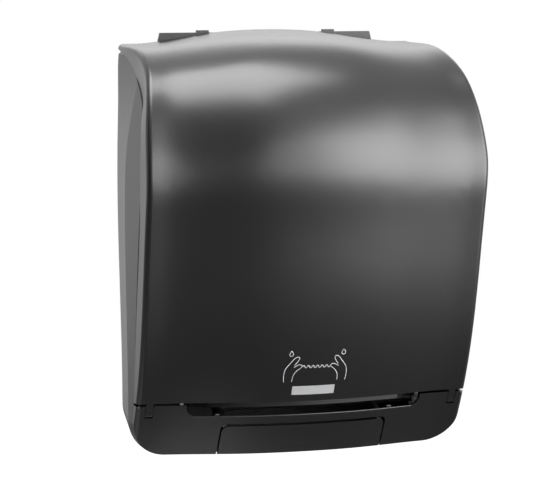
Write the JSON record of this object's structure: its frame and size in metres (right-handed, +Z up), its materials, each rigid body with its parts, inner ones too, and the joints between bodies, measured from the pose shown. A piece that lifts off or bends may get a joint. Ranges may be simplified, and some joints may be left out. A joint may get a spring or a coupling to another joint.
{
  "type": "lever paper towel dispenser",
  "caption": "Wall-mounted roll towel dispenser with a bowed hinged cover, a push lever at the foot, a towel slot and a cutting drum inside.",
  "frame": {"origin": "centre of the four wall screws, on the wall plane", "axes": "+Z up, +Y into the wall so that the front faces -Y, +X to the right of a person facing the front"},
  "size_m": [0.3358, 0.2162, 0.4036],
  "materials": {
    "cover_plastic": "satin, fine grain",
    "housing_plastic": "satin, fine grain",
    "chin_plastic": "satin",
    "lever_plastic": "satin",
    "guide_plastic": "smooth black",
    "frame_plastic": "grey moulded",
    "hub_plastic": "blue moulded",
    "drum_plastic": "light grey moulded",
    "gear_plastic": "natural acetal",
    "grip_rubber": "matt",
    "steel": "drawn",
    "blade_steel": "ground",
    "screw_steel": "zinc plated",
    "lock_metal": "nickel plated",
    "plate_metal": "brushed, bare"
  },
  "bodies": {
    "dispenser": {"back_housing": "housing_plastic", "chin": "chin_plastic", "side_plate_left": "frame_plastic", "side_plate_right": "frame_plastic", "tie_bars": "steel", "paper_guide": "guide_plastic", "drum_bushes": "gear_plastic", "roll_arm_left": "frame_plastic", "arm_bracket": "frame_plastic", "arm_pin": "steel", "frame_screws": "screw_steel", "lock_sleeve": "lock_metal", "cover_hinge_pins": "steel", "lever_pins": "steel", "pinch_shaft": "steel", "pawl_pin": "steel"},
    "cover": {"cover_shell": "cover_plastic", "name_plate": "plate_metal"},
    "lever": {"feed_lever": "lever_plastic", "sector_gear": "gear_plastic"},
    "pinion": {"feed_pinion": "gear_plastic"},
    "drum": {"drum_shell": "drum_plastic", "drum_disc_left": "drum_plastic", "drum_disc_right": "drum_plastic", "drum_shaft": "steel", "drum_grips": "grip_rubber", "ratchet_wheel": "gear_plastic", "shaft_clips": "steel"},
    "blade_unit": {"blade_carrier": "frame_plastic", "blade": "blade_steel"},
    "pinch": {"pinch_roller": "grip_rubber"},
    "pawl": {"pawl": "gear_plastic"},
    "hub_left": {"hub_left": "hub_plastic"},
    "right_arm": {"roll_arm_right": "frame_plastic"},
    "hub_right": {"hub_right": "hub_plastic"},
    "lock": {"lock_barrel": "lock_metal", "lock_cam": "steel"}
  },
  "joints": [
    {"name": "cover_hinge", "type": "hinge", "parent": "dispenser", "child": "cover", "pos_m": [0, -0.1238, -0.1575], "axis": [1, 0, 0], "range_deg": [0, 60]},
    {"name": "lever_press", "type": "hinge", "parent": "dispenser", "child": "lever", "pos_m": [0, -0.12194, -0.16809], "axis": [1, 0, 0], "range_deg": [0, 17], "stiffness_Nm_per_rad": 1.2, "springref_deg": -8.59},
    {"name": "pinion_turn", "type": "hinge", "parent": "dispenser", "child": "pinion", "pos_m": [0.1245, -0.092, -0.088], "axis": [1, 0, 0], "range_deg": [-71.3, 0]},
    {"name": "drum_spin", "type": "hinge", "parent": "dispenser", "child": "drum", "pos_m": [0, -0.092, -0.088], "axis": [1, 0, 0], "continuous": true},
    {"name": "pinch_spin", "type": "hinge", "parent": "dispenser", "child": "pinch", "pos_m": [0, -0.13908, -0.07086], "axis": [1, 0, 0], "continuous": true},
    {"name": "blade_swing", "type": "hinge", "parent": "drum", "child": "blade_unit", "pos_m": [0, -0.08776, -0.11487], "axis": [-1, 0, 0], "range_deg": [0, 35], "stiffness_Nm_per_rad": 0.3, "springref_deg": -11.46},
    {"name": "pawl_lift", "type": "hinge", "parent": "dispenser", "child": "pawl", "pos_m": [-0.1235, -0.062, -0.066], "axis": [-1, 0, 0], "range_deg": [0, 12], "stiffness_Nm_per_rad": 0.02, "springref_deg": -17.19},
    {"name": "hub_left_spin", "type": "hinge", "parent": "dispenser", "child": "hub_left", "pos_m": [-0.105, -0.098, 0.082], "axis": [1, 0, 0], "continuous": true},
    {"name": "arm_swing", "type": "hinge", "parent": "dispenser", "child": "right_arm", "pos_m": [0.111, -0.018, 0.082], "axis": [0, 0, 1], "range_deg": [0, 6], "stiffness_Nm_per_rad": 4, "springref_deg": -2.86},
    {"name": "hub_right_spin", "type": "hinge", "parent": "right_arm", "child": "hub_right", "pos_m": [0.105, -0.098, 0.082], "axis": [1, 0, 0], "continuous": true},
    {"name": "lock_turn", "type": "hinge", "parent": "dispenser", "child": "lock", "pos_m": [0.16, -0.134, 0.09], "axis": [-1, 0, 0], "range_deg": [0, 90]}
  ],
  "couplings": [
    {"joint": "pinion_turn", "follows": "lever_press", "ratio": -4.1818},
    {"joint": "pinch_spin", "follows": "drum_spin", "ratio": -4.5333}
  ]
}
